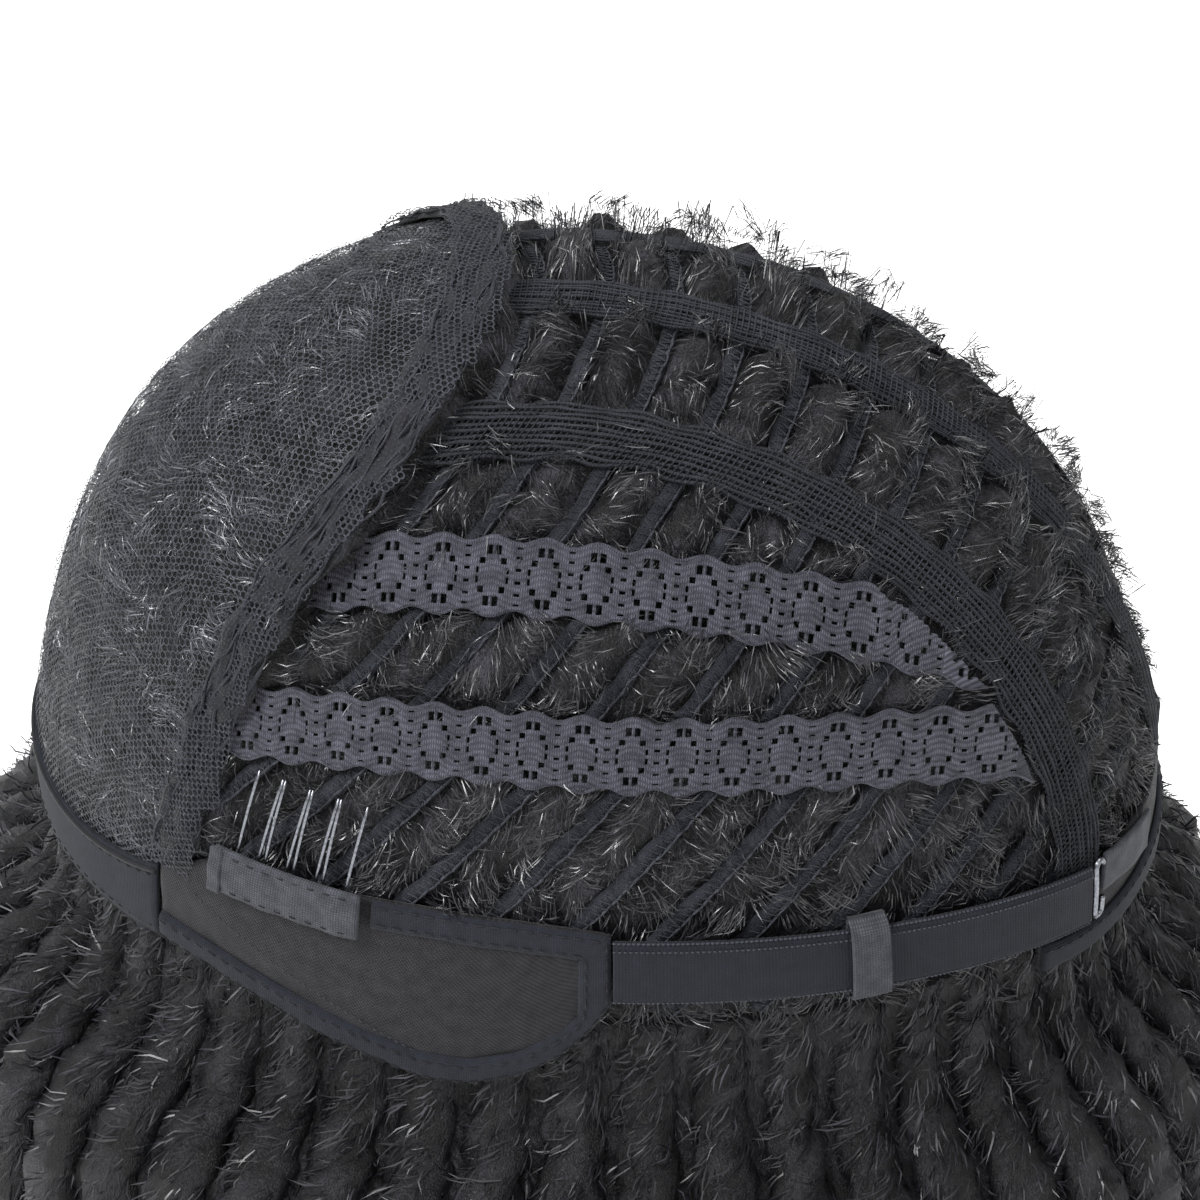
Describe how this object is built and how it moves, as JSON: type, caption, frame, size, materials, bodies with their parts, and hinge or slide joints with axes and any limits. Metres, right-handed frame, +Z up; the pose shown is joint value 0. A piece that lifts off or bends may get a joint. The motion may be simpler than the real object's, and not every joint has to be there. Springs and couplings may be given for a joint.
{
  "type": "braid wig",
  "caption": "Braid wig turned inside out: net front, sewn wefts under lace and ribbed elastic bands, ear tabs with wire combs, adjusting straps and braids hanging below.",
  "frame": {"origin": "the underside of the crown, where the top of a head touches the hair mat", "axes": "+Z up, -Y towards the forehead, +X towards the wearer's left ear; the part is symmetric about X = 0"},
  "size_m": [0.2298, 0.2876, 0.2925],
  "materials": {
    "hair": "fuzzy synthetic fibre, semi-gloss",
    "net": "fine knitted net",
    "lace": "open elastic lace",
    "ribbed_elastic": "ribbed elastic",
    "weft_thread": "corded thread",
    "binding": "folded tape, matt",
    "tab_cloth": "twill, matt",
    "strap_elastic": "picot-edged elastic",
    "loop_cloth": "knitted tape",
    "steel": "polished wire"
  },
  "bodies": {
    "root": {"hair_mat": "hair", "braids_01": "hair", "braids_02": "hair", "braids_03": "hair", "braids_04": "hair", "braids_05": "hair", "braids_06": "hair", "braids_07": "hair", "braids_08": "hair", "braids_09": "hair", "braids_10": "hair", "braids_11": "hair", "braids_12": "hair", "front_net": "net", "net_hem": "net", "lace_band_upper_left": "lace", "lace_band_upper_right": "lace", "lace_band_lower_left": "lace", "lace_band_lower_right": "lace", "crown_band_middle": "ribbed_elastic", "crown_band_left": "ribbed_elastic", "crown_band_right": "ribbed_elastic", "weft_01": "weft_thread", "weft_02": "weft_thread", "weft_03": "weft_thread", "weft_04": "weft_thread", "weft_05": "weft_thread", "weft_06": "weft_thread", "weft_07": "weft_thread", "weft_08": "weft_thread", "weft_09": "weft_thread", "weft_10": "weft_thread", "weft_11": "weft_thread", "weft_12": "weft_thread", "weft_13": "weft_thread", "front_band": "binding", "nape_binding": "binding", "ear_binding_left": "binding", "ear_binding_right": "binding", "ear_tab_left": "tab_cloth", "ear_tab_right": "tab_cloth", "nape_panel": "tab_cloth", "strap_left": "strap_elastic", "strap_right": "strap_elastic", "comb_pocket_left": "loop_cloth", "comb_pocket_right": "loop_cloth", "strap_keeper_left": "loop_cloth", "strap_keeper_right": "loop_cloth", "adjuster_tape_left": "loop_cloth", "adjuster_tape_right": "loop_cloth", "comb_left": "steel", "comb_right": "steel", "strap_hook_left": "steel", "strap_hook_right": "steel"}
  },
  "joints": []
}
